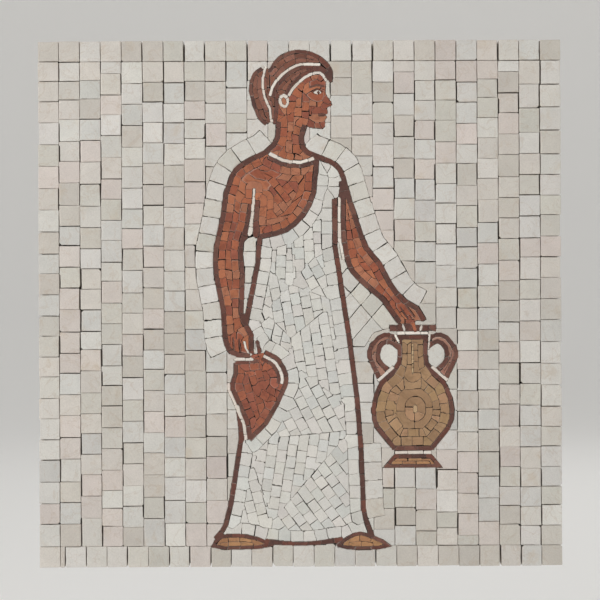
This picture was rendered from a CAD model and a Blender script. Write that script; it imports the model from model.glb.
"""The looks of the mosaic panel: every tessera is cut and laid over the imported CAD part.

The panel stands in the XZ plane and faces -Y. Joints are planned in millimetres on a fine grid:
each cell holds the number of its tessera. The outline of each numbered area becomes one stone.
"""

import heapq
import math
from typing import NamedTuple

import bpy
import numpy as np
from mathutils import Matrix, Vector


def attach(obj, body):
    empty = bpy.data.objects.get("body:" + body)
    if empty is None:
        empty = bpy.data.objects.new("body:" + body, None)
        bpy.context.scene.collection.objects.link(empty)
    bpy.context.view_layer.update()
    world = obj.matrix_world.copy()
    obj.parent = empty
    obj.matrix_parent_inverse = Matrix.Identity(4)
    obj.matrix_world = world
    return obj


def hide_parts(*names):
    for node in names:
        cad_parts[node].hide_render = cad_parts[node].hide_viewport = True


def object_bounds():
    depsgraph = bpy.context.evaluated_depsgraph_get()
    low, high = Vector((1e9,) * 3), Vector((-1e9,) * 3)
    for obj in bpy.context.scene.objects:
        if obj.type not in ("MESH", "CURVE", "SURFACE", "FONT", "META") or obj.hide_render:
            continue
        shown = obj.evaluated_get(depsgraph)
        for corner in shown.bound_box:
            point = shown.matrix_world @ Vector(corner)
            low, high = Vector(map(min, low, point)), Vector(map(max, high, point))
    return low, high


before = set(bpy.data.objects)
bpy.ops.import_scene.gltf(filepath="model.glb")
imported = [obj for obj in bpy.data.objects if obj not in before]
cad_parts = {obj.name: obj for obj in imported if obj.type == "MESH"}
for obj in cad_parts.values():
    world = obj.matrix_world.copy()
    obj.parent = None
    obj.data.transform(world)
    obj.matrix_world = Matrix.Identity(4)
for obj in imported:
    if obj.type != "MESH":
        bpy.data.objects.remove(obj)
cad_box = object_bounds()
rng = np.random.default_rng(25)

# ---------------------------------------------------------------- sizes, in millimetres

MM = 1000
TINY = 1e-9  # keeps a division by a length of 0 from failing
CELL = 0.2
BACK_DEPTH = 1.5  # from the wall to the backs of the stones
FACE_DEPTH = 10.0  # and to their faces
FACE_SPREAD = 0.3  # hand-cut faces don't lie quite level
BED_DEPTH = 5.0  # CAD faces nearer to the wall than this are beds between the stones
FACING = 0.9  # how squarely a CAD face has to turn to the viewer
TILE = 12.1  # the size of a ground tessera
TALLEST_TILE = 17.0
CUT_SPREAD = 0.5  # how far the cuts between ground tesserae stray
LINE_REACH = 2  # cells that a fill may grow towards a line of stone
JOINT_REACH = 8  # cells that every stone may grow into a joint
CORNER_TOLERANCE = 0.7  # cells that a stone's outline may be off its area
SLIVER_ROUNDS = 4
MARGIN = 3  # empty cells kept round an area, more than the longest of MOVES
SMALLEST_HOLE = 4  # in cells
SMALLEST_STONE = 0.4  # in square millimetres
PATCH = 12000  # cells in a patch of stones that lie one way
PATCH_TURN = 0.3  # how far patches turn from upright, in radians
STAGGER = 0.4  # the shift of the joints from one column to the next, in stones
RING_STAGGER = 0.37  # and from one row along an edge to the next

LEFT, BOTTOM = cad_box[0].x * MM, cad_box[0].z * MM
COLUMNS = round((cad_box[1].x * MM - LEFT) / CELL)
ROWS = round((cad_box[1].z * MM - BOTTOM) / CELL)
centre_x = LEFT + (np.arange(COLUMNS) + 0.5) * CELL
centre_z = BOTTOM + (np.arange(ROWS) + 0.5) * CELL


# ---------------------------------------------------------------- reading the CAD faces


def front_islands(node):
    """The separate areas that a CAD node turns to the viewer, each a list of flat triangles."""
    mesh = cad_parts[node].data
    mesh.calc_loop_triangles()
    places = np.array([v.co for v in mesh.vertices]) * MM
    corners = places[np.array([t.vertices for t in mesh.loop_triangles])]
    normals = np.cross(corners[:, 1] - corners[:, 0], corners[:, 2] - corners[:, 0])
    normals /= np.maximum(np.linalg.norm(normals, axis=1, keepdims=True), TINY)
    facing = (normals[:, 1] < -FACING) & (corners[:, :, 1].max(axis=1) < -BED_DEPTH)
    triangles = corners[facing][:, :, [0, 2]]
    parent = list(range(len(triangles)))

    def root(i):
        while parent[i] != i:
            i = parent[i]
        return i

    first_at = {}
    for i, triangle in enumerate(triangles):
        for x, z in triangle:
            j = first_at.setdefault((round(x, 2), round(z, 2)), i)
            parent[root(i)] = root(j)
    islands = {}
    for i, triangle in enumerate(triangles):
        islands.setdefault(root(i), []).append(triangle)
    return list(islands.values())


def paint(grid, triangles, value):
    """Gives every cell whose centre lies in the triangles that value."""
    for triangle in triangles:
        low, high = triangle.min(axis=0), triangle.max(axis=0)
        i0, i1 = int((low[0] - LEFT) / CELL), int((high[0] - LEFT) / CELL) + 2
        j0, j1 = int((low[1] - BOTTOM) / CELL), int((high[1] - BOTTOM) / CELL) + 2
        x, z = centre_x[None, i0:i1], centre_z[j0:j1, None]
        sides = []
        for p, q in zip(triangle, np.roll(triangle, -1, axis=0)):
            sides.append((q[0] - p[0]) * (z - p[1]) - (q[1] - p[1]) * (x - p[0]))
        inside = (np.min(sides, axis=0) >= 0) | (np.max(sides, axis=0) <= 0)
        grid[j0:j1, i0:i1][inside] = value


# ---------------------------------------------------------------- numbering areas of cells

NEIGHBOURS = ((np.s_[1:, :], np.s_[:-1, :]), (np.s_[:, 1:], np.s_[:, :-1]))


def connected(values):
    """Numbers each connected area of one value from 1, with 0 where the value is 0."""
    ids = np.arange(values.size).reshape(values.shape)
    pairs = []
    for here, there in NEIGHBOURS:
        same = (values[here] == values[there]) & (values[here] > 0)
        pairs.append(np.stack([ids[here][same], ids[there][same]]))
    one, other = np.concatenate(pairs, axis=1)
    root = np.arange(values.size)
    while (root[one] != root[other]).any():
        high = np.maximum(root[one], root[other])
        np.minimum.at(root, high, np.minimum(root[one], root[other]))
        while (root[root] != root).any():
            root = root[root]
    filled = values.ravel() > 0
    numbers = np.zeros(values.size, int)
    numbers[filled] = np.unique(root[filled], return_inverse=True)[1] + 1
    return numbers.reshape(values.shape)


def without_slivers(label, stones):
    """Joins each stone smaller than its style allows to the neighbour it borders on most."""
    kinds = {}
    owner = np.array([kinds.setdefault((node, id(style)), len(kinds)) for node, style in stones])
    smallest = np.array([style.smallest for _, style in stones]) / CELL**2
    for _ in range(SLIVER_ROUNDS):
        sizes = np.bincount(label.ravel(), minlength=len(owner))
        pairs = []
        for here, there in NEIGHBOURS:
            a, b = label[here].ravel(), label[there].ravel()
            meet = (a != b) & (a > 0) & (b > 0)
            pairs += [np.stack([a[meet], b[meet]]), np.stack([b[meet], a[meet]])]
        small, into = np.concatenate(pairs, axis=1)
        fits = (sizes[small] < smallest[small]) & (owner[small] == owner[into])
        fits &= (sizes[into] > sizes[small]) | ((sizes[into] == sizes[small]) & (into > small))
        keys, borders = np.unique(small[fits] * len(owner) + into[fits], return_counts=True)
        target = np.arange(len(owner))
        target[keys[np.argsort(borders)] // len(owner)] = keys[np.argsort(borders)] % len(owner)
        label = target[label]
    return label


def numbered(*codes):
    """A number from 1 on for each different combination of codes."""
    rows = np.stack(codes, axis=1)
    return 1 + np.unique(rows, axis=0, return_inverse=True)[1].reshape(-1)


def grown(label, steps, spreads):
    """Lets the areas that may spread take the empty cells next to them."""
    for _ in range(steps):
        before = label.copy()
        for here, there in NEIGHBOURS:
            for one, other in ((here, there), (there, here)):
                empty = (label[one] == 0) & spreads[before[other]]
                label[one][empty] = before[other][empty]
    return label


# ---------------------------------------------------------------- outlines

STEPS = np.array([[1, 0], [0, 1], [-1, 0], [0, -1]])


def outlines(mask):
    """The anticlockwise loops round the filled cells, as corner points in cells."""
    padded = np.pad(mask, 1)
    inner = padded[1:-1, 1:-1]
    empty_sides = (
        (padded[:-2, 1:-1], (0, 0)),
        (padded[1:-1, 2:], (1, 0)),
        (padded[2:, 1:-1], (1, 1)),
        (padded[1:-1, :-2], (0, 1)),
    )
    ways = {}
    for direction, (beyond, (right, up)) in enumerate(empty_sides):
        for j, i in zip(*np.nonzero(inner & ~beyond)):
            ways.setdefault((i + right, j + up), set()).add(direction)
    loops = []
    while ways:
        start = place = next(iter(ways))
        heading = min(ways[start])
        loop = []
        while True:
            choices = ways.get(place)
            if not choices:
                break
            left_turn = (heading + 1) % 4
            heading = left_turn if left_turn in choices else min(choices)
            choices.discard(heading)
            if not choices:
                del ways[place]
            loop.append(place)
            place = (place[0] + STEPS[heading][0], place[1] + STEPS[heading][1])
            if place == start:
                break
        loops.append(np.array(loop, float))
    return loops


def cross(a, b):
    return a[..., 0] * b[..., 1] - a[..., 1] * b[..., 0]


def area_of(loop):
    return cross(loop, np.roll(loop, -1, axis=0)).sum() / 2


def thinned(path, tolerance):
    """The indices of the points that keep a path within a tolerance."""
    kept, stack = {0, len(path) - 1}, [(0, len(path) - 1)]
    while stack:
        i, j = stack.pop()
        if j - i < 2:
            continue
        chord = path[j] - path[i]
        away = np.abs(cross(chord, path[i + 1 : j] - path[i])) / max(np.hypot(*chord), TINY)
        if away.max() > tolerance:
            middle = i + 1 + int(away.argmax())
            kept.add(middle)
            stack += [(i, middle), (middle, j)]
    return sorted(kept)


def corners_of(loop, tolerance):
    """A closed loop round cells as a polygon with only the corners that matter."""
    path = (loop + np.roll(loop, -1, axis=0)) / 2
    path = np.roll(path, -int(np.hypot(*(path - path.mean(axis=0)).T).argmax()), axis=0)
    far = int(np.hypot(*(path - path[0]).T).argmax())
    first = path[thinned(path[: far + 1], tolerance)]
    closing = np.concatenate([path[far:], path[:1]])
    second = closing[thinned(closing, tolerance)]
    polygon = np.concatenate([first[:-1], second[:-1]])
    gaps = np.hypot(*(polygon - np.roll(polygon, 1, axis=0)).T)
    return polygon[gaps > 2 * tolerance] if (gaps > 2 * tolerance).sum() > 2 else polygon


def in_millimetres(loop, origin):
    return (loop + origin) * CELL + (LEFT, BOTTOM)


# ---------------------------------------------------------------- laying patterns


def nearest_edge(spots, loops):
    """Each spot's distance to the nearest edge of the loops, and how far round that edge is."""
    best, station = np.full(len(spots), np.inf), np.zeros(len(spots))
    travelled = 0.0
    for loop in loops:
        for p, q in zip(loop, np.roll(loop, -1, axis=0)):
            edge = q - p
            length = max(np.hypot(*edge), TINY)
            share = np.clip((spots - p) @ edge / length**2, 0, 1)
            away = np.hypot(*(spots - p - share[:, None] * edge).T)
            closer = away < best
            best[closer] = away[closer]
            station[closer] = travelled + share[closer] * length
            travelled += length
    return best, station


MOVES = [(1, 0), (0, 1), (1, 1), (1, -1), (2, 1), (1, 2), (2, -1), (1, -2)]
MOVES += [(-i, -j) for i, j in MOVES]


def walked(mask):
    """The way from the top of each area to its cells, in millimetres, without leaving it."""
    rows, columns = mask.shape
    way = np.where(mask, np.inf, -1.0).ravel().tolist()
    moves = [(j * columns + i, math.hypot(i, j) * CELL) for i, j in MOVES]
    tops = np.flatnonzero(mask.ravel())[::-1].tolist()
    for top in tops:
        if way[top] != math.inf:
            continue
        way[top] = 0.0
        queue = [(0.0, top)]
        while queue:
            far, spot = heapq.heappop(queue)
            if far > way[spot]:
                continue
            for step, length in moves:
                if far + length < way[spot + step]:
                    way[spot + step] = far + length
                    heapq.heappush(queue, (far + length, spot + step))
    return np.array(way).reshape(rows, columns)


def edge_rows(mask, spots):
    """How far each cell is from the edge of its area, and how far round that edge."""
    loops = [corners_of(loop, CORNER_TOLERANCE) * CELL for loop in outlines(mask)]
    return nearest_edge(spots * CELL, loops)


def pieces_along(mask, length):
    """Numbers the pieces of about one length that a line of stone is cut into."""
    return np.where(mask, 1 + (walked(mask) / length + 0.5).astype(int), 0)


def stroke(path, width):
    """The cells that lie within half a width of a drawn path."""
    cells = np.zeros((ROWS, COLUMNS), bool)
    x, z = np.meshgrid(centre_x, centre_z)
    for p, q in zip(np.array(path[:-1], float), np.array(path[1:], float)):
        near = (x > min(p[0], q[0]) - width) & (x < max(p[0], q[0]) + width)
        near &= (z > min(p[1], q[1]) - width) & (z < max(p[1], q[1]) + width)
        spots = np.stack([x[near], z[near]], axis=1)
        share = np.clip((spots - p) @ (q - p) / ((q - p) @ (q - p)), 0, 1)
        cells[near] |= np.hypot(*(spots - p - share[:, None] * (q - p)).T) < width / 2
    return cells


def patches(x, z, size):
    """Stones of about one size in patches that each lie their own way."""
    seeds = rng.uniform((x.min(), z.min()), (x.max(), z.max()), (1 + x.size // PATCH, 2))
    turns = rng.normal(0, PATCH_TURN, len(seeds))
    nearest = np.argmin([np.hypot(x - sx, z - sz) for sx, sz in seeds], axis=0)
    turn = turns[nearest]
    across = x * np.cos(turn) + z * np.sin(turn)
    up = z * np.cos(turn) - x * np.sin(turn)
    column = np.floor(across / size[0]).astype(int)
    place = np.floor(up / size[1] + STAGGER * column).astype(int)
    return numbered(nearest, column, place)


def rings(mask, width, length, count, core, along=False):
    """Rows of stones that follow the edge, round a middle laid in patches.

    The joints of the inner rows follow on from the edge, or lie across the way along a limb.
    """
    values = np.zeros(mask.shape, int)
    j, i = np.nonzero(mask)
    away, round_edge = edge_rows(mask, np.stack([i + 0.5, j + 0.5], axis=1))
    ring = np.minimum((away / width).astype(int), count)
    station = np.where(ring > 0, walked(mask)[j, i], round_edge) if along else round_edge
    place = (station / length + RING_STAGGER * ring).astype(int)
    codes = numbered(ring, place)
    inner = ring == count
    if inner.any():
        codes[inner] = codes.max() + patches(i[inner] * CELL, j[inner] * CELL, core)
    values[j, i] = codes
    return values


# ---------------------------------------------------------------- palettes


def linear(*levels):
    """A colour from 8-bit sRGB levels."""
    share = np.array(levels) / 255
    return np.where(share <= 0.04045, share / 12.92, ((share + 0.055) / 1.055) ** 2.4)


CREAM = [
    linear(214, 210, 203),
    linear(211, 205, 197),
    linear(208, 204, 195),
    linear(212, 203, 196),
    linear(209, 207, 202),
    linear(217, 214, 208),
    linear(203, 197, 188),
]
PALE_CREAM = [linear(217, 214, 207), linear(213, 210, 201), linear(219, 216, 210)]
WHITE = [
    linear(219, 217, 211),
    linear(216, 214, 208),
    linear(221, 218, 211),
    linear(215, 215, 210),
    linear(219, 215, 209),
]
LINE_WHITE = [linear(234, 226, 216), linear(228, 217, 206)]
SKIN = [
    linear(168, 98, 68),
    linear(158, 88, 62),
    linear(176, 108, 76),
    linear(150, 84, 64),
    linear(172, 112, 84),
]
DARK = [
    linear(106, 68, 58),
    linear(98, 62, 52),
    linear(114, 76, 64),
    linear(110, 66, 54),
    linear(94, 62, 54),
]
HAIR = [linear(132, 84, 66), linear(144, 96, 80), linear(122, 76, 60), linear(138, 90, 74)]
OCHRE = [
    linear(172, 138, 104),
    linear(167, 132, 99),
    linear(176, 138, 106),
    linear(162, 128, 96),
    linear(170, 137, 100),
]
LIGHT_OCHRE = [linear(206, 178, 140), linear(198, 168, 130)]
FOOT = [linear(178, 132, 92), linear(170, 122, 86)]
HANDLE = [linear(168, 124, 106), linear(160, 112, 96)]
FAN = [linear(154, 87, 63), linear(144, 81, 61), linear(163, 94, 68), linear(157, 91, 71)]

# ---------------------------------------------------------------- how each CAD node is laid


class Style(NamedTuple):
    """How an area is cut into stones. Widths are in millimetres."""

    layout: object  # a function from the area's cells to numbered cells, or "tiles" or "whole"
    colours: list
    slot: str  # the material; a detail takes that of the node it is set into
    smallest: float  # in square millimetres; a smaller stone joins its neighbour
    joint: float
    bevel: float
    is_line: bool = False  # a line keeps its width while the fills beside it grow
    path: tuple = ()  # the stroke that holds the stones, where they don't fill the node
    width: float = 0.0  # and its width


LIMB_MIDDLE = (4.2, 5.4)  # the width and height of a stone in a limb's middle
GROUND = Style("tiles", CREAM, "cream_marble", smallest=9.0, joint=0.12, bevel=0.24)
CONTOUR = Style("whole", PALE_CREAM, "cream_marble", smallest=6.0, joint=0.14, bevel=0.26)


def lines(colours, slot, length):
    """A drawn line cut into pieces of one length."""

    def layout(mask):
        return pieces_along(mask, length)

    return Style(layout, colours, slot, smallest=3.0, joint=0.06, bevel=0.14, is_line=True)


def filled(colours, slot, width, length, count, core, smallest=9.0, along=False):
    """Rows of stones along the edge, count deep, round a middle of stones of the size of core."""

    def layout(mask):
        return rings(mask, width, length, count, core, along)

    return Style(layout, colours, slot, smallest, joint=0.1, bevel=0.16)


def limb(colours, slot, width, length, count=9):
    """Rows of stones that run along a limb, a lock of hair or a handle."""
    return filled(colours, slot, width, length, count, LIMB_MIDDLE, smallest=8.0, along=True)


def drawn(path, width, colours, length=9.0):
    """A few small stones along a path, in the material of the node that they are set into."""

    def layout(mask):
        return pieces_along(mask, length)

    return Style(layout, colours, "", 0.8, 0.05, 0.12, is_line=True, path=path, width=width)


white_line = lines(LINE_WHITE, "white_marble", 9.0)
dark_line = lines(DARK, "dark_red_stone", 7.5)
LAYOUTS = {
    "pupil": lines(DARK, "dark_red_stone", 9.0),
    "eye_white": lines(LINE_WHITE, "white_marble", 5.0),
    "necklace": white_line,
    "armpit_line": white_line,
    "dress_side_line": white_line,
    "hair_ribbon_crown": white_line,
    "hair_ribbon_brow": white_line,
    "hair_ribbon_bun": white_line,
    "ear": lines(LINE_WHITE, "white_marble", 6.0),
    "fan_rim_line": white_line,
    "fan_heel_line": white_line,
    "hand_line": white_line,
    "jar_collar_line": white_line,
    "jar_foot_line": white_line,
    "jar_shoulder_line_left": white_line,
    "jar_shoulder_line_right": white_line,
    "arm_left_outline": dark_line,
    "arm_left_inner_outline": dark_line,
    "neckline_outline": dark_line,
    "arm_right_outline": dark_line,
    "dress_left_and_hem_outline": dark_line,
    "dress_right_outline": dark_line,
    "fan_outline": dark_line,
    "fan_inner_outline": dark_line,
    "jar_rim": dark_line,
    "jar_outline": dark_line,
    "jar_foot_outline": dark_line,
    "hair_outline": dark_line,
    "bun_outline": dark_line,
    "nape_outline": dark_line,
    "eyebrow": dark_line,
    "mouth": dark_line,
    "foot_left": limb(FOOT, "ochre_stone", 4.0, 7.0),
    "foot_right": limb(FOOT, "ochre_stone", 4.0, 7.0),
    "jar_body": filled(OCHRE, "ochre_stone", 4.8, 6.4, 2, core=(4.4, 5.6)),
    "jar_foot": limb(FOOT, "ochre_stone", 4.0, 8.0),
    "jar_handle_left": limb(HANDLE, "ochre_stone", 4.0, 8.0),
    "jar_handle_right": limb(HANDLE, "ochre_stone", 4.0, 8.0),
    "fan_leaf": limb(FAN, "fan_stone", 3.6, 5.6, 1),
    "arm_left_and_chest": limb(SKIN, "terracotta_stone", 3.7, 5.6, 2),
    "arm_right": limb(SKIN, "terracotta_stone", 3.7, 5.6, 2),
    "face_and_neck": limb(SKIN, "terracotta_stone", 3.6, 5.0, 1),
    "hair_crown": limb(HAIR, "hair_stone", 2.7, 7.0),
    "hair_front": limb(HAIR, "hair_stone", 2.7, 7.0),
    "hair_back": limb(HAIR, "hair_stone", 2.7, 7.0),
    "hair_bun": limb(HAIR, "hair_stone", 2.7, 7.0),
    "dress": filled(WHITE, "white_marble", 5.8, 7.4, 1, core=(5.7, 6.8), smallest=16.0),
    "contour_course_left": CONTOUR,
    "contour_course_right": CONTOUR,
    "arm_gap_left": CONTOUR,
    "arm_gap_right": CONTOUR,
    "handle_gap_left": CONTOUR,
    "handle_gap_right": CONTOUR,
    "field_left": GROUND,
    "field_right_inner": GROUND,
    "field_right_lower": GROUND,
    "field_right_outer": GROUND,
    "top_course": GROUND,
    "bottom_course": GROUND,
}

# Stones set into a node's area before its own: gaps between fingers, lights on the jar and so on
DETAILS = {
    "ear": [drawn(((-9, 116.6), (-8.4, 114.9)), 2.0, SKIN)],
    "arm_left_and_chest": [
        drawn(((-42, -20), (-41, -28.5)), 0.8, DARK),
        drawn(((-38.5, -20), (-37.5, -29)), 0.8, DARK),
        drawn(((-35, -20), (-34, -29)), 0.8, DARK),
        drawn(((-32, -22), (-31, -26), (-29, -29)), 1.2, LINE_WHITE),
    ],
    "face_and_neck": [drawn(((7.2, 121.4), (10.5, 122.9), (13.6, 121.6)), 0.8, DARK)],
    "arm_right": [
        drawn(((57, -2), (62, -9)), 0.8, DARK),
        drawn(((60.5, -1), (65.5, -8)), 0.8, DARK),
    ],
    "jar_rim": [
        drawn(((64.8, -12.2), (66, -15.6)), 2.0, SKIN),
        drawn(((59, -13.2), (59.8, -15.4)), 1.4, LINE_WHITE),
        drawn(((69.6, -13.2), (69, -15.4)), 1.4, LINE_WHITE),
    ],
    "jar_outline": [
        drawn(((54.6, -18.4), (56.6, -22.4)), 1.2, LINE_WHITE),
        drawn(((74.2, -18.4), (73.6, -26)), 1.2, LINE_WHITE),
    ],
    "dress": [
        drawn(((-26.4, -21.5), (-26.4, -27.5)), 1.2, LINE_WHITE),
        drawn(((-24.6, -22), (-23.4, -27.6)), 2.2, DARK),
    ],
    "jar_body": [
        drawn(((65.8, -59.4), (65.8, -62)), 2.2, LIGHT_OCHRE),
        drawn(((64.5, -24), (64.5, -40)), 1.1, LIGHT_OCHRE, 2.5),
    ],
}


def split_tiles(label, node, first):
    """Paints a node's tiles, with each long one cut into tiles of the usual height."""
    for island in front_islands(node):
        area = np.zeros((ROWS, COLUMNS), bool)
        heights = np.array(island)[:, :, 1]
        low, high = heights.min(), heights.max()
        count = round((high - low) / TILE) if high - low > TALLEST_TILE else 1
        cuts = low + (high - low) * np.arange(1, count) / count
        cuts += rng.uniform(-CUT_SPREAD, CUT_SPREAD, len(cuts))
        paint(area, island, True)
        j, i = np.nonzero(area)
        label[j, i] = first + np.searchsorted(cuts, centre_z[j])
        first += count
    return first


def lay(label, cells, layout, first):
    """Numbers the stones of one area from the first free number on."""
    j, i = np.nonzero(cells)
    rows = slice(j.min() - MARGIN, j.max() + MARGIN + 1)
    window = rows, slice(i.min() - MARGIN, i.max() + MARGIN + 1)
    numbers = connected(layout(cells[window]))
    label[window][numbers > 0] = numbers[numbers > 0] + first - 1
    return first + numbers.max()


def planned():
    """The stone in each cell, and the node and style of every stone."""
    label = np.zeros((ROWS, COLUMNS), int)
    stones = [(None, GROUND)]
    for node, style in LAYOUTS.items():
        if style.layout == "tiles":
            last = split_tiles(label, node, len(stones))
            stones += [(node, style)] * (last - len(stones))
        elif style.layout == "whole":
            for island in front_islands(node):
                paint(label, island, len(stones))
                stones.append((node, style))
        else:
            own = np.zeros((ROWS, COLUMNS), bool)
            paint(own, sum(front_islands(node), []), True)
            own &= label == 0
            for detail in [*DETAILS.get(node, []), style]:
                cells = label == 0
                cells &= stroke(detail.path, detail.width) if detail.path else own
                if cells.any():
                    last = lay(label, cells, detail.layout, len(stones))
                    stones += [(node, detail)] * (last - len(stones))
    laid = np.arange(len(stones)) > 0
    label = grown(label, LINE_REACH, laid & [not style.is_line for _, style in stones])
    label = grown(label, JOINT_REACH - LINE_REACH, laid)
    return without_slivers(label, stones), stones


# ---------------------------------------------------------------- cutting one stone


SHARP = 0.5  # the sine of the turn from which a point counts as a corner
LEAST_LEFT = 0.35  # the share of its area that an inset polygon has to keep


def inset(polygon, margins):
    """An anticlockwise polygon with each edge moved inwards by its own margin."""
    along = np.roll(polygon, -1, axis=0) - polygon
    along /= np.maximum(np.hypot(*along.T)[:, None], TINY)
    inward = np.stack([-along[:, 1], along[:, 0]], axis=1)
    before, reach = np.roll(inward, 1, axis=0), np.roll(margins, 1)
    turning = cross(before, inward)
    offset = (inward * polygon).sum(axis=1) + margins
    offset_before = (before * polygon).sum(axis=1) + reach
    sharp = np.abs(turning) > SHARP
    safe = np.where(sharp, turning, 1.0)
    x = (offset_before * inward[:, 1] - offset * before[:, 1]) / safe
    z = (offset * before[:, 0] - offset_before * inward[:, 0]) / safe
    plain = polygon + (before + inward) / 2 * ((margins + reach) / 2)[:, None]
    return uncrossed(np.where(sharp[:, None], np.stack([x, z], axis=1), plain), polygon)


def uncrossed(polygon, original):
    """An inset polygon with each edge that came out reversed drawn in to one point."""
    before = np.roll(original, -1, axis=0) - original
    after = np.roll(polygon, -1, axis=0) - polygon
    for k in np.flatnonzero((before * after).sum(axis=1) <= 0):
        following = (k + 1) % len(polygon)
        polygon[[k, following]] = (polygon[k] + polygon[following]) / 2
    return polygon


TOUCH = 1e-6  # the share of an edge within which two edges only touch


def crosses_itself(polygon):
    """True if two edges that aren't neighbours cross."""
    edge = np.roll(polygon, -1, axis=0) - polygon
    apart = polygon[None, :] - polygon[:, None]
    turn = cross(edge[:, None], edge[None, :])
    turn[turn == 0] = np.inf
    share = cross(apart, edge[None, :]) / turn
    other = cross(apart, edge[:, None]) / turn
    low, high = TOUCH, 1 - TOUCH
    return bool(((share > low) & (share < high) & (other > low) & (other < high)).any())


def sound(polygon, original):
    """True if an inset polygon is whole and has kept enough of the one it came from."""
    large_enough = area_of(polygon) > LEAST_LEFT * area_of(original)
    return large_enough and not crosses_itself(polygon)


def scaled(polygon, share):
    """A smaller copy of a polygon about the middle of its corners."""
    middle = polygon.mean(axis=0)
    return middle + (polygon - middle) * share


WEAR = (0.6, 1.6)  # how much a corner is worn, to its style's bevel
WEAR_PART = 3  # the shorter edge beside a corner, to the most that the corner is worn
CHIPPED = 0.1  # the share of corners that are chipped
CHIP = 3.5  # how much larger a chip is than a worn corner
EDGE_STEP = 2.4  # between the points of an uneven edge
EDGE_SHIFT = 0.3  # how far such a point strays along the edge, in steps


def weathered(polygon, roughness, corner):
    """The same polygon with uneven edges and worn or chipped corners."""
    points = []
    count = len(polygon)
    for k in range(count):
        here, after = polygon[k], polygon[(k + 1) % count]
        before = polygon[k - 1]
        arrive, leave = here - before, after - here
        turn = cross(arrive, leave) / max(np.hypot(*arrive) * np.hypot(*leave), TINY)
        short = min(np.hypot(*arrive), np.hypot(*leave))
        worn = min(corner * rng.uniform(*WEAR), short / WEAR_PART)
        if rng.random() < CHIPPED:
            worn = min(CHIP * worn, short / WEAR_PART)
        if turn > SHARP:
            points.append(here - arrive / np.hypot(*arrive) * worn)
            points.append(here + leave / np.hypot(*leave) * worn)
        else:
            points.append(here)
        length = np.hypot(*leave)
        side = np.array([-leave[1], leave[0]]) / max(length, TINY)
        steps = max(1, round(length / EDGE_STEP))
        for step in range(1, steps):
            share = (step + rng.uniform(-EDGE_SHIFT, EDGE_SHIFT)) / steps
            points.append(here + leave * share + side * abs(rng.normal(0, roughness)))
    return np.array(points)


JOINT = (0.25, 0.9)  # half the gap beside an edge, to its style's joint
WIDE_JOINTS = 0.22  # the share of a stone's edges that have a wide joint
WIDE_JOINT = (1.0, 3.5)  # what such an edge adds, to its style's joint
UPRIGHT_JOINT, LEVEL_JOINT = 1.4, 0.8  # the width of joints in the ground, to the usual
THIN_JOINT = 0.05  # half the joint round a stone that a wider one would spoil
ROUGHNESS = 0.25  # how uneven a stone's edges are, to its style's bevel
BEVEL, BEVEL_CHANGE = (0.6, 1.1), (0.85, 1.15)  # of a stone and of each of its edges, to the same
DROP = (0.5, 1.2)  # how far a bevel goes down, to the same
TILT = 0.007  # of a stone's face, in radians


def cut_stone(polygon, style):
    """One stone's points, faces and how far each point is on its worn edge."""
    joint, bevel = style.joint, style.bevel
    is_wide = rng.random(len(polygon)) < WIDE_JOINTS
    margins = joint * rng.uniform(*JOINT, len(polygon))
    margins += joint * rng.uniform(*WIDE_JOINT, len(polygon)) * is_wide
    if style is GROUND:
        upright = np.abs((np.roll(polygon, -1, axis=0) - polygon)[:, 1]) > TILE / 2
        margins *= np.where(upright, UPRIGHT_JOINT, LEVEL_JOINT)
    shrunk = inset(polygon, margins)
    if not sound(shrunk, polygon):
        shrunk = inset(polygon, np.full(len(polygon), THIN_JOINT))
    if not sound(shrunk, polygon):
        shrunk = scaled(polygon, 0.9)
    rim = weathered(shrunk, ROUGHNESS * bevel, bevel)
    if crosses_itself(rim):
        rim = shrunk
    face = inset(rim, bevel * rng.uniform(*BEVEL) * rng.uniform(*BEVEL_CHANGE, len(rim)))
    if not sound(face, rim):
        face = scaled(rim, 0.85)
    tilt = (face - face.mean(axis=0)) @ rng.normal(0, TILT, 2)
    depth = FACE_DEPTH - FACE_SPREAD * rng.random() + tilt - tilt.max()
    drop = bevel * rng.uniform(*DROP, len(rim))
    count = len(rim)
    levels = [(rim, np.full(count, BACK_DEPTH)), (rim, depth - drop), (face, depth)]
    points = [np.column_stack([loop[:, 0], -deep, loop[:, 1]]) for loop, deep in levels]
    faces = [list(range(count))[::-1], list(range(2 * count, 3 * count))]
    for low in (0, count):
        for k in range(count):
            following = (k + 1) % count
            faces.append([low + k, low + following, low + count + following, low + count + k])
    worn = np.repeat([1.0, 1.0, 0.0], count)
    return np.concatenate(points), faces, worn


# ---------------------------------------------------------------- materials


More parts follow.
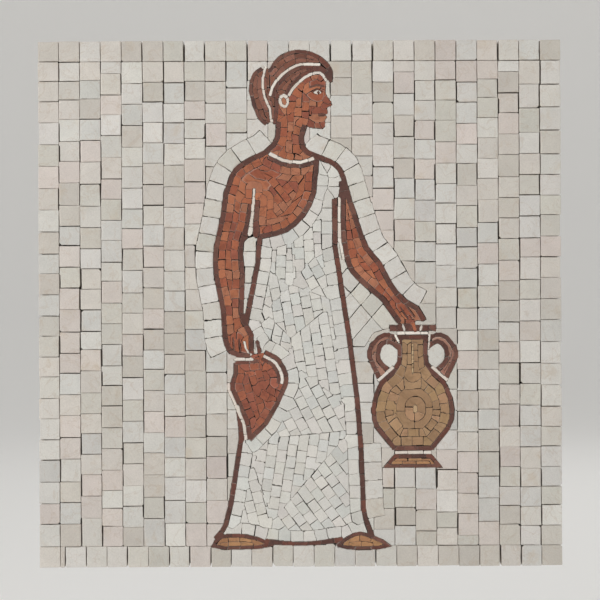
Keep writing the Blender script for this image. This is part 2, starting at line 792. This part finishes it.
class Graph:
    """A material's nodes, added one by one with their inputs."""

    def __init__(self, name):
        self.material = bpy.data.materials.new(name)
        self.material.use_nodes = True
        self.nodes = self.material.node_tree.nodes
        self.links = self.material.node_tree.links
        self.shader = self.nodes["Principled BSDF"]

    def add(self, kind, inputs=None, **settings):
        node = self.nodes.new(kind)
        for key, value in settings.items():
            setattr(node, key, value)
        for key, value in (inputs or {}).items():
            self.feed(node.inputs[key], value)
        return node

    def feed(self, socket, value):
        if isinstance(value, bpy.types.NodeSocket):
            self.links.new(value, socket)
        else:
            socket.default_value = value

    def attribute(self, name, output):
        return self.add("ShaderNodeAttribute", attribute_name=name).outputs[output]

    def noise(self, place, scale, detail=4, roughness=0.55, **settings):
        inputs = {"Vector": place, "Scale": scale, "Detail": detail, "Roughness": roughness}
        return self.add("ShaderNodeTexNoise", inputs, **settings).outputs["Fac"]

    def ranged(self, value, low, high, to_low=0.0, to_high=1.0):
        inputs = {0: value, 1: low, 2: high, 3: to_low, 4: to_high}
        return self.add("ShaderNodeMapRange", inputs, interpolation_type="SMOOTHSTEP").outputs[0]

    def mix(self, share, one, other, blend="MIX"):
        inputs = {0: share, 6: one, 7: other}
        return self.add(
            "ShaderNodeMix", inputs, data_type="RGBA", blend_type=blend
        ).outputs[2]

    def maths(self, operation, one, other):
        return self.add("ShaderNodeMath", {0: one, 1: other}, operation=operation).outputs[0]


def rgba(colour):
    return (*[float(c) for c in colour], 1.0)


def stone_material(name, vein, vein_share, stain, stain_share, contrast, roughness):
    """Cut stone: clouded, veined and stained, with paler worn edges and a honed face."""
    graph = Graph(name)
    place = graph.add("ShaderNodeTexCoord").outputs["Object"]
    shifted = graph.add(
        "ShaderNodeVectorMath", {0: place, 1: graph.attribute("grain", "Vector")}, operation="ADD"
    ).outputs[0]
    cloud = graph.ranged(graph.noise(shifted, 90, 6, 0.6), 0.3, 0.7, 1 - contrast, 1 + contrast)
    colour = graph.mix(1.0, graph.attribute("tint", "Color"), cloud, "MULTIPLY")
    speckle = graph.ranged(graph.noise(shifted, 1400, 3, 0.7), 0.3, 0.7, 0.94, 1.06)
    colour = graph.mix(1.0, colour, speckle, "MULTIPLY")
    stained = graph.ranged(graph.noise(shifted, 55, 5, 0.65), 0.58, 0.74, 0.0, stain_share)
    colour = graph.mix(stained, colour, rgba(stain))
    warped = graph.add(
        "ShaderNodeTexNoise", {"Vector": shifted, "Scale": 60.0, "Detail": 4.0, "Distortion": 1.5}
    ).outputs["Fac"]
    ridge = graph.maths("ABSOLUTE", graph.maths("SUBTRACT", warped, 0.5), 0.0)
    veined = graph.ranged(ridge, 0.0, 0.02, vein_share, 0.0)
    colour = graph.mix(veined, colour, rgba(vein))
    edge = graph.maths("MULTIPLY", graph.attribute("edge", "Fac"), 0.3)
    colour = graph.mix(edge, colour, rgba(linear(226, 216, 206)))
    graph.feed(graph.shader.inputs["Base Color"], colour)
    gloss = graph.ranged(graph.noise(shifted, 260, 4), 0.3, 0.7, roughness - 0.08, roughness + 0.1)
    graph.feed(graph.shader.inputs["Roughness"], gloss)
    graph.shader.inputs["Specular IOR Level"].default_value = 0.4
    pits = graph.add(
        "ShaderNodeBump",
        {"Strength": 0.35, "Distance": 0.0001, "Height": graph.noise(shifted, 1500, 4, 0.65)},
    )
    waves = graph.add(
        "ShaderNodeBump",
        {
            "Strength": 0.5,
            "Distance": 0.0004,
            "Height": graph.noise(shifted, 170, 3),
            "Normal": pits.outputs["Normal"],
        },
    )
    graph.feed(graph.shader.inputs["Normal"], waves.outputs["Normal"])
    return graph.material


MATERIALS = {
    "cream_marble": stone_material(
        "cream marble",
        vein=linear(176, 152, 126),
        vein_share=0.22,
        stain=linear(196, 178, 154),
        stain_share=0.4,
        contrast=0.035,
        roughness=0.55,
    ),
    "white_marble": stone_material(
        "white marble",
        vein=linear(190, 186, 176),
        vein_share=0.15,
        stain=linear(206, 200, 182),
        stain_share=0.3,
        contrast=0.035,
        roughness=0.52,
    ),
    "terracotta_stone": stone_material(
        "terracotta stone",
        vein=linear(120, 60, 44),
        vein_share=0.5,
        stain=linear(186, 128, 98),
        stain_share=0.5,
        contrast=0.16,
        roughness=0.55,
    ),
    "dark_red_stone": stone_material(
        "dark red stone",
        vein=linear(62, 40, 40),
        vein_share=0.5,
        stain=linear(128, 92, 84),
        stain_share=0.5,
        contrast=0.2,
        roughness=0.55,
    ),
    "hair_stone": stone_material(
        "hair stone",
        vein=linear(92, 56, 50),
        vein_share=0.5,
        stain=linear(168, 120, 108),
        stain_share=0.5,
        contrast=0.18,
        roughness=0.55,
    ),
    "ochre_stone": stone_material(
        "ochre stone",
        vein=linear(126, 94, 62),
        vein_share=0.45,
        stain=linear(196, 166, 128),
        stain_share=0.5,
        contrast=0.12,
        roughness=0.55,
    ),
    "fan_stone": stone_material(
        "fan stone",
        vein=linear(102, 50, 40),
        vein_share=0.5,
        stain=linear(172, 112, 88),
        stain_share=0.45,
        contrast=0.16,
        roughness=0.55,
    ),
}


def backing_material():
    """A glass-fibre mesh with adhesive pressed through it."""
    graph = Graph("backing mesh")
    place = graph.add("ShaderNodeTexCoord").outputs["Object"]
    threads = []
    for turn in (0.0, math.pi / 2):
        turned = graph.add(
            "ShaderNodeVectorRotate",
            {"Vector": place, "Axis": (0, 1, 0), "Angle": turn},
            rotation_type="AXIS_ANGLE",
        ).outputs[0]
        wave = graph.add(
            "ShaderNodeTexWave",
            {"Vector": turned, "Scale": 62.0, "Distortion": 0.3, "Detail": 1.0},
            bands_direction="X",
        ).outputs["Fac"]
        threads.append(graph.ranged(wave, 0.72, 0.9))
    thread = graph.maths("MAXIMUM", *threads)
    smear = graph.ranged(graph.noise(place, 30, 5, 0.6), 0.42, 0.62)
    seen = graph.maths("MULTIPLY", thread, graph.maths("SUBTRACT", 1.0, smear))
    glue = graph.mix(
        graph.noise(place, 110, 5), rgba(linear(188, 182, 170)), rgba(linear(214, 209, 198))
    )
    colour = graph.mix(seen, glue, rgba(linear(236, 236, 232)))
    graph.feed(graph.shader.inputs["Base Color"], colour)
    graph.shader.inputs["Roughness"].default_value = 0.85
    rough = graph.add(
        "ShaderNodeBump",
        {"Strength": 0.8, "Distance": 0.0006, "Height": graph.noise(place, 500, 5, 0.6)},
    )
    woven = graph.add(
        "ShaderNodeBump",
        {
            "Strength": 1.0,
            "Distance": 0.0008,
            "Height": seen,
            "Normal": rough.outputs["Normal"],
        },
    )
    graph.feed(graph.shader.inputs["Normal"], woven.outputs["Normal"])
    return graph.material


# ---------------------------------------------------------------- building the pieces


def without_holes(mask):
    """The parts of an area, cut through the middle of each hole."""
    holes = [loop for loop in outlines(mask) if area_of(loop) < -SMALLEST_HOLE]
    if not holes:
        return [mask]
    middle = int(holes[0][:, 0].mean())
    left, right = mask.copy(), mask.copy()
    left[:, middle:] = False
    right[:, :middle] = False
    return without_holes(left) + without_holes(right)


SHADE_SPREAD = 0.035  # how much lighter or darker than its colour a stone is
HUE_SPREAD = 0.004  # and how much each of red, green and blue differs
GRAIN_REACH = 3  # how far apart, in metres, stones lie in the pattern of veins and clouds


class Pile:
    """The stones of one node, gathered into the points and faces of one mesh."""

    def __init__(self):
        self.count = 0
        self.points, self.faces = [], []
        self.tints, self.shifts, self.worn = [], [], []

    def add(self, polygon, style):
        points, faces, worn = cut_stone(polygon, style)
        tint = style.colours[rng.integers(len(style.colours))]
        tint = tint * rng.normal(1, SHADE_SPREAD) * rng.normal(1, HUE_SPREAD, 3)
        shift = rng.uniform(-GRAIN_REACH, GRAIN_REACH, 3)
        self.points.append(points)
        self.faces += [[self.count + k for k in face] for face in faces]
        self.tints.append(np.tile([*tint, 1.0], (len(points), 1)))
        self.shifts.append(np.tile(shift, (len(points), 1)))
        self.worn.append(worn)
        self.count += len(points)


def piles_of(label, stones):
    """The stones of each node, cut from the areas of cells."""
    piles = {node: Pile() for node in LAYOUTS}
    j, i = np.nonzero(label)
    numbers = label[j, i]
    order = np.argsort(numbers, kind="stable")
    j, i, numbers = j[order], i[order], numbers[order]
    starts = np.flatnonzero(np.diff(numbers, prepend=0))
    for start, end in zip(starts, [*starts[1:], len(numbers)]):
        node, style = stones[numbers[start]]
        jj, ii = j[start:end], i[start:end]
        origin = np.array([ii.min(), jj.min()])
        mask = np.zeros((jj.max() - jj.min() + 1, ii.max() - ii.min() + 1), bool)
        mask[jj - origin[1], ii - origin[0]] = True
        for part in without_holes(mask):
            loop = max(outlines(part), key=area_of)
            polygon = in_millimetres(corners_of(loop, CORNER_TOLERANCE), origin)
            if area_of(polygon) >= SMALLEST_STONE and len(polygon) > 2:
                piles[node].add(polygon, style)
    return piles


def build(node, pile):
    """One Blender piece that stands for a CAD node."""
    mesh = bpy.data.meshes.new(f"{node}_stones")
    mesh.from_pydata(np.concatenate(pile.points) / MM, [], pile.faces)
    for name, kind, field, rows in (
        ("tint", "FLOAT_COLOR", "color", pile.tints),
        ("grain", "FLOAT_VECTOR", "vector", pile.shifts),
        ("edge", "FLOAT", "value", pile.worn),
    ):
        values = np.concatenate(rows).astype(np.float32).ravel()
        mesh.attributes.new(name, kind, "POINT").data.foreach_set(field, values)
    slot = LAYOUTS[node].slot
    mesh.materials.append(MATERIALS[slot])
    piece = bpy.data.objects.new(f"{node}_stones", mesh)
    bpy.context.scene.collection.objects.link(piece)
    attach(piece, "root")
    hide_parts(node)


for node, pile in piles_of(*planned()).items():
    build(node, pile)

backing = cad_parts["mesh_backing"]
backing.data.materials.clear()
backing.data.materials.append(backing_material())

# ---------------------------------------------------------------- floor, lights and camera, in metres

FLOOR_Z = -0.30
FLOOR_RADIUS = 3.0
CURVE_RADIUS = 1.5
WALL_TOP = 5.0
CURVE_STEPS = 12
TURN_STEPS = 64


def bowl():
    """A pale round floor that curves up into a wall far from the panel."""
    profile = [(FLOOR_RADIUS / 2, FLOOR_Z)]
    for angle in np.linspace(0, math.pi / 2, CURVE_STEPS):
        radius = FLOOR_RADIUS + CURVE_RADIUS * math.sin(angle)
        profile.append((radius, FLOOR_Z + CURVE_RADIUS * (1 - math.cos(angle))))
    profile.append((FLOOR_RADIUS + CURVE_RADIUS, WALL_TOP))
    points, faces = [], [tuple(range(TURN_STEPS))]
    for radius, height in profile:
        for angle in np.linspace(0, 2 * math.pi, TURN_STEPS, endpoint=False):
            points.append((radius * math.cos(angle), radius * math.sin(angle), height))
    for row in range(len(profile) - 1):
        for k in range(TURN_STEPS):
            here, after = row * TURN_STEPS + k, row * TURN_STEPS + (k + 1) % TURN_STEPS
            faces.append((here, here + TURN_STEPS, after + TURN_STEPS, after))
    mesh = bpy.data.meshes.new("floor")
    mesh.from_pydata(points, [], faces)
    mesh.shade_smooth()
    graph = Graph("floor")
    graph.shader.inputs["Base Color"].default_value = (0.78, 0.77, 0.75, 1)
    graph.shader.inputs["Roughness"].default_value = 0.9
    graph.shader.inputs["Emission Color"].default_value = (1, 0.99, 0.97, 1)
    graph.shader.inputs["Emission Strength"].default_value = 0.17
    mesh.materials.append(graph.material)
    floor = bpy.data.objects.new("floor", mesh)
    bpy.context.scene.collection.objects.link(floor)


def area_light(name, place, size, power):
    """A white lamp that faces the panel's middle and isn't seen itself."""
    light = bpy.data.lights.new(name, "AREA")
    light.size = size
    light.energy = power
    lamp = bpy.data.objects.new(name, light)
    lamp.location = place
    lamp.visible_camera = False
    lamp.rotation_euler = (-lamp.location).to_track_quat("-Z", "Y").to_euler()
    bpy.context.scene.collection.objects.link(lamp)


bowl()
area_light("key", (-1.1, -0.95, 0.9), size=0.8, power=12.5)
area_light("fill", (1.6, -1.6, 0.3), size=2.0, power=5.5)
area_light("back", (0.6, 1.8, 1.6), size=1.5, power=11)
world = bpy.data.worlds.new("studio")
world.use_nodes = True
world.node_tree.nodes["Background"].inputs["Color"].default_value = (0.9, 0.92, 0.95, 1)
world.node_tree.nodes["Background"].inputs["Strength"].default_value = 0.24
bpy.context.scene.world = world
bpy.context.scene.view_settings.view_transform = "Standard"

LENS = 100.0
SENSOR = 36.0
FRAME_WIDTH = 0.344  # across the view at the panel's face
CAMERA_HEIGHT = 0.002
CAMERA_ROLL = math.radians(0.22)
camera_data = bpy.data.cameras.new("camera")
camera_data.lens = LENS
camera_data.sensor_width = SENSOR
camera = bpy.data.objects.new("camera", camera_data)
camera.location = (0, -(FRAME_WIDTH * LENS / SENSOR + FACE_DEPTH / MM), CAMERA_HEIGHT)
camera.rotation_euler = (math.pi / 2, CAMERA_ROLL, 0)
bpy.context.scene.collection.objects.link(camera)
bpy.context.scene.camera = camera

bpy.context.view_layer.update()
